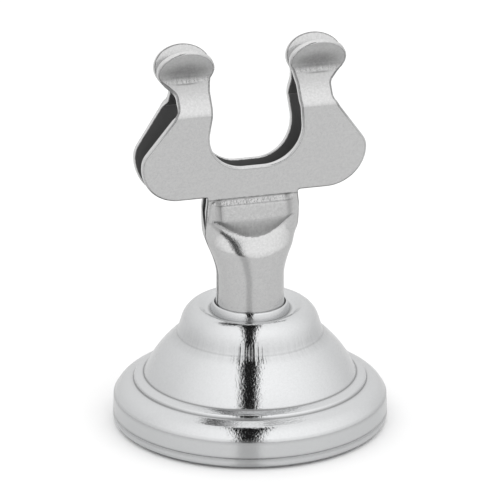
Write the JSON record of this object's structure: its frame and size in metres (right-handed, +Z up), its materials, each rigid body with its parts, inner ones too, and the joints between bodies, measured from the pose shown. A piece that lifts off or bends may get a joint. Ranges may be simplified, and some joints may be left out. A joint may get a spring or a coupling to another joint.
{
  "type": "place card holder",
  "caption": "Weighted chrome bell base with a short stem and a sprung harp-shaped clip whose flared lips pinch a place card upright.",
  "frame": {"origin": "on the table under the middle of the base", "axes": "+Z up the stem, X across the two arms of the clip, -Y out of the front jaw towards the viewer"},
  "size_m": [0.038, 0.038, 0.0548],
  "materials": {
    "chrome_base": "bright chrome plate on drawn steel",
    "plated_clip": "tumbled chrome plate on spring steel, slightly satin",
    "iron_ballast": "as cast",
    "black_rubber": "matt",
    "zinc_steel": "zinc plated"
  },
  "bodies": {
    "base": {"base_shell": "chrome_base", "collar_ring": "chrome_base", "ballast": "iron_ballast", "rubber_foot": "black_rubber", "clamp_screw": "zinc_steel", "spring_washer": "zinc_steel", "stem_plug": "zinc_steel", "front_stem_half": "plated_clip", "rear_stem_half": "plated_clip"},
    "front_jaw": {"front_jaw": "plated_clip"},
    "rear_jaw": {"rear_jaw": "plated_clip"}
  },
  "joints": [
    {"name": "front_jaw_flex", "type": "hinge", "parent": "base", "child": "front_jaw", "pos_m": [0, -0.00103, 0.03318], "axis": [1, 0, 0], "range_deg": [0, 6], "stiffness_Nm_per_rad": 0.4, "springref_deg": -5.73},
    {"name": "rear_jaw_flex", "type": "hinge", "parent": "base", "child": "rear_jaw", "pos_m": [0, 0.00103, 0.03318], "axis": [-1, 0, 0], "range_deg": [0, 6], "stiffness_Nm_per_rad": 0.4, "springref_deg": -5.73}
  ]
}
